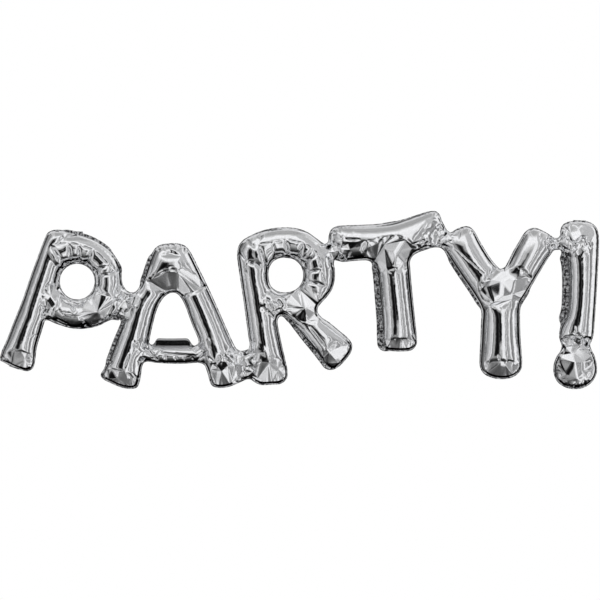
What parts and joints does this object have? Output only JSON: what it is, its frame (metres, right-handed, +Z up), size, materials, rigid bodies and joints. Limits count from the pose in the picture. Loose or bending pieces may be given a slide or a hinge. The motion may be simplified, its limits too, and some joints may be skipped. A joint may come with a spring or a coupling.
{
  "type": "foil letter balloon",
  "caption": "Air-filled silver foil party word balloon: puffed letter cells with welded edges, joined in a wavy row by crinkled film necks that flex.",
  "frame": {"origin": "middle of the word's box, in the plane of the welded edges", "axes": "+X along the word to the right, +Y towards the back, +Z up; the front faces -Y"},
  "size_m": [0.8355, 0.0596, 0.2499],
  "materials": {
    "front_film": "mirror-bright silver film with soft crinkles",
    "back_film": "mirror-bright silver film with soft crinkles",
    "welded_edge": "heat-pressed silver film, finely puckered",
    "neck_film": "crinkled silver film",
    "tail_film": "satin silver film"
  },
  "bodies": {
    "letter_p": {"letter_p_front_film": "front_film", "letter_p_back_film": "back_film", "letter_p_seam": "welded_edge", "letter_p_counter_seam": "welded_edge", "hang_tab_left": "tail_film", "fill_valve": "tail_film"},
    "letter_a": {"letter_a_front_film": "front_film", "letter_a_back_film": "back_film", "letter_a_seam": "welded_edge", "letter_a_counter_seam": "welded_edge", "neck_p_a": "neck_film"},
    "letter_r": {"letter_r_front_film": "front_film", "letter_r_back_film": "back_film", "letter_r_seam": "welded_edge", "letter_r_counter_seam": "welded_edge", "neck_a_r": "neck_film", "neck_r_t": "neck_film"},
    "letter_t": {"letter_t_front_film": "front_film", "letter_t_back_film": "back_film", "letter_t_seam": "welded_edge", "hang_tab_middle": "tail_film", "neck_t_y": "neck_film"},
    "letter_y": {"letter_y_front_film": "front_film", "letter_y_back_film": "back_film", "letter_y_seam": "welded_edge", "neck_y_mark": "neck_film"},
    "mark_stem": {"mark_stem_front_film": "front_film", "mark_stem_back_film": "back_film", "mark_stem_seam": "welded_edge", "hang_tab_right": "tail_film", "neck_mark_dot": "neck_film"},
    "mark_dot": {"mark_dot_front_film": "front_film", "mark_dot_back_film": "back_film", "mark_dot_seam": "welded_edge"}
  },
  "joints": [
    {"name": "bend_a_r", "type": "hinge", "parent": "letter_r", "child": "letter_a", "pos_m": [-0.0757, 0, -0.0903], "axis": [-0.1736, 0, 0.9848], "range_deg": [-35, 35], "stiffness_Nm_per_rad": 0.1, "deforming": ["neck_a_r"]},
    {"name": "bend_p_a", "type": "hinge", "parent": "letter_a", "child": "letter_p", "pos_m": [-0.2464, 0, -0.0038], "axis": [0.3875, 0, 0.9219], "range_deg": [-35, 35], "stiffness_Nm_per_rad": 0.1, "deforming": ["neck_p_a"]},
    {"name": "bend_r_t", "type": "hinge", "parent": "letter_r", "child": "letter_t", "pos_m": [0.0438, 0, 0.0678], "axis": [-0.454, 0, 0.891], "range_deg": [-35, 35], "stiffness_Nm_per_rad": 0.1, "deforming": ["neck_r_t"]},
    {"name": "bend_t_y", "type": "hinge", "parent": "letter_t", "child": "letter_y", "pos_m": [0.1939, 0, 0.0896], "axis": [0.3939, 0, 0.9191], "range_deg": [-35, 35], "stiffness_Nm_per_rad": 0.1, "deforming": ["neck_t_y"]},
    {"name": "bend_y_mark", "type": "hinge", "parent": "letter_y", "child": "mark_stem", "pos_m": [0.3612, 0, 0.0798], "axis": [0, 0, 1], "range_deg": [-35, 35], "stiffness_Nm_per_rad": 0.05, "deforming": ["neck_y_mark"]},
    {"name": "bend_mark_dot", "type": "hinge", "parent": "mark_stem", "child": "mark_dot", "pos_m": [0.3871, 0, -0.0623], "axis": [1, 0, 0], "range_deg": [-35, 35], "stiffness_Nm_per_rad": 0.02, "deforming": ["neck_mark_dot"]}
  ]
}
